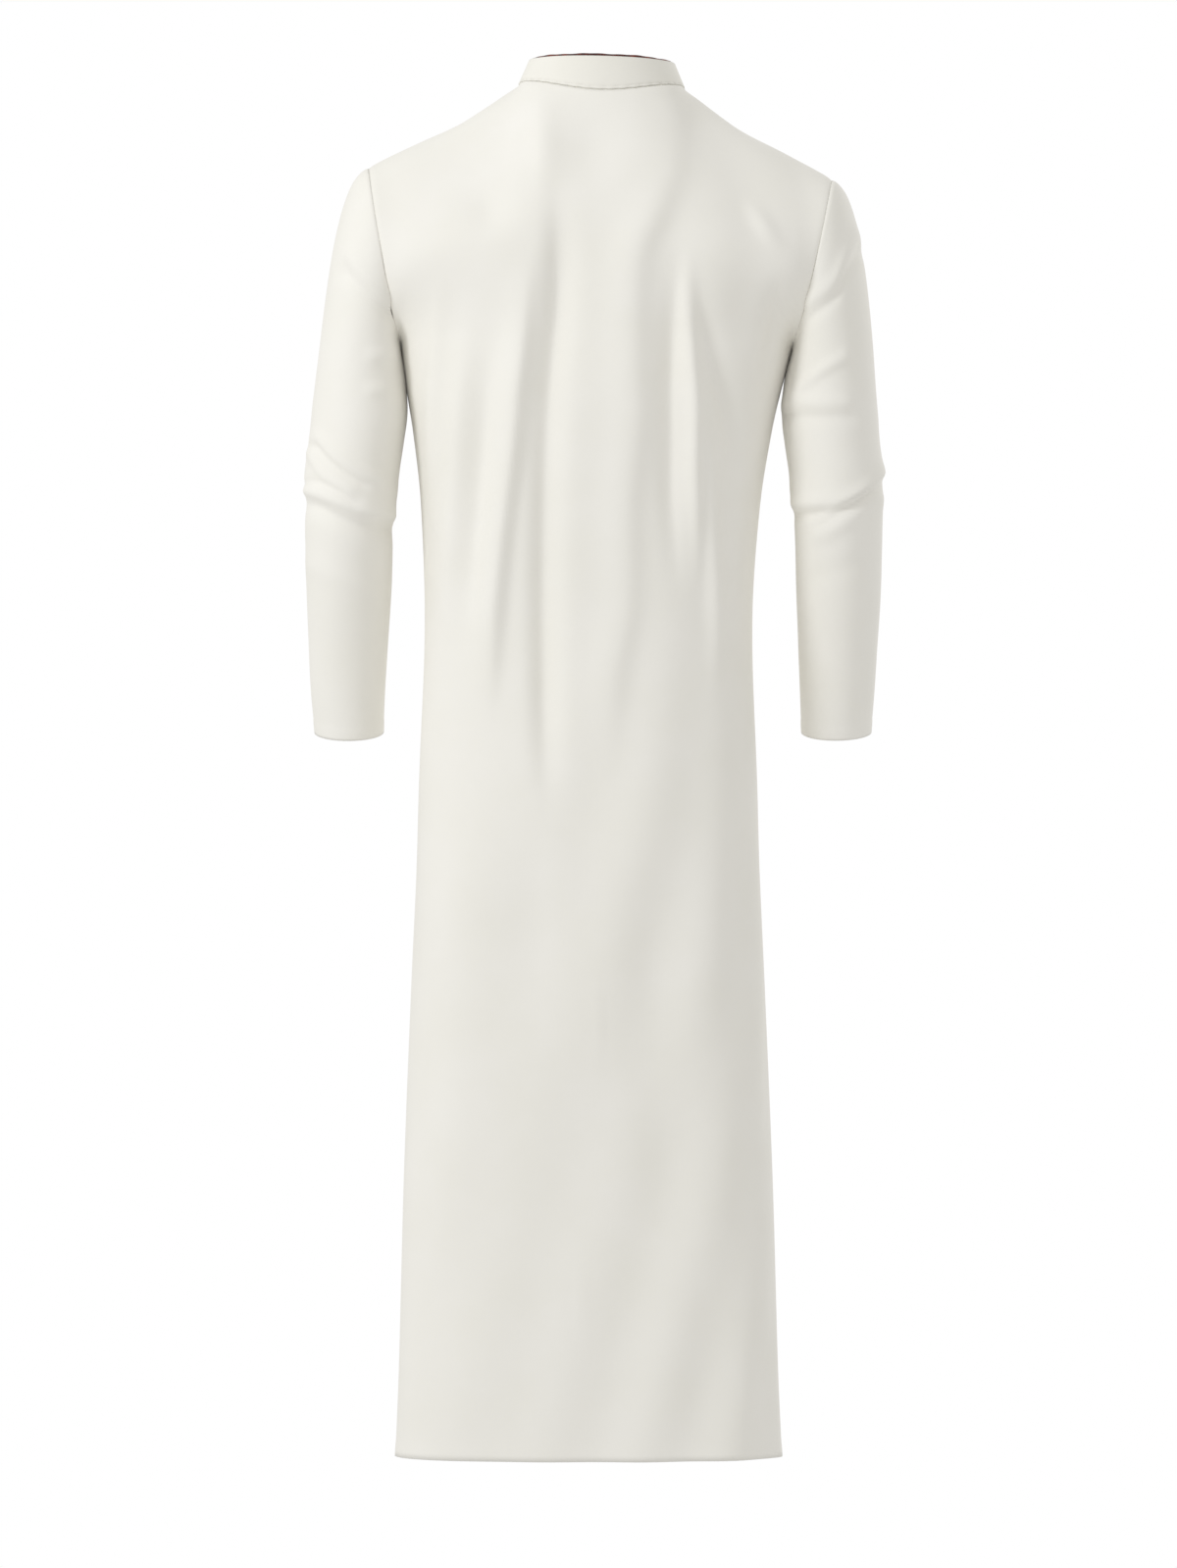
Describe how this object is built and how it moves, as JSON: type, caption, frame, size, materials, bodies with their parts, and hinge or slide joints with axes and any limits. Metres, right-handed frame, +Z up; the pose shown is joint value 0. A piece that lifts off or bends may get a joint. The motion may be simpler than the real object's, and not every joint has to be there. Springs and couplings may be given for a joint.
{
  "type": "thobe robe",
  "caption": "Ankle-length off-white thobe with long set-in sleeves, a piped stand collar and a front placket, in its hollow worn form.",
  "frame": {"origin": "middle of the neck's base, where the wearer's neck and shoulders carry the robe", "axes": "+Z up along the robe's length, the front faces -Y, the wearer's left is +X"},
  "size_m": [0.5891, 0.2618, 1.4256],
  "materials": {
    "cloth": "smooth matt poly-cotton shirting",
    "piping": "satin covered cord, dark red-brown",
    "button": "polished polyester"
  },
  "bodies": {
    "root": {"back_panel": "cloth", "front_panel": "cloth", "sleeve_left": "cloth", "sleeve_right": "cloth", "collar": "cloth", "collar_piping": "piping", "placket_over": "cloth", "placket_under": "cloth", "button_1": "button", "button_2": "button", "button_3": "button", "button_4": "button"}
  },
  "joints": []
}
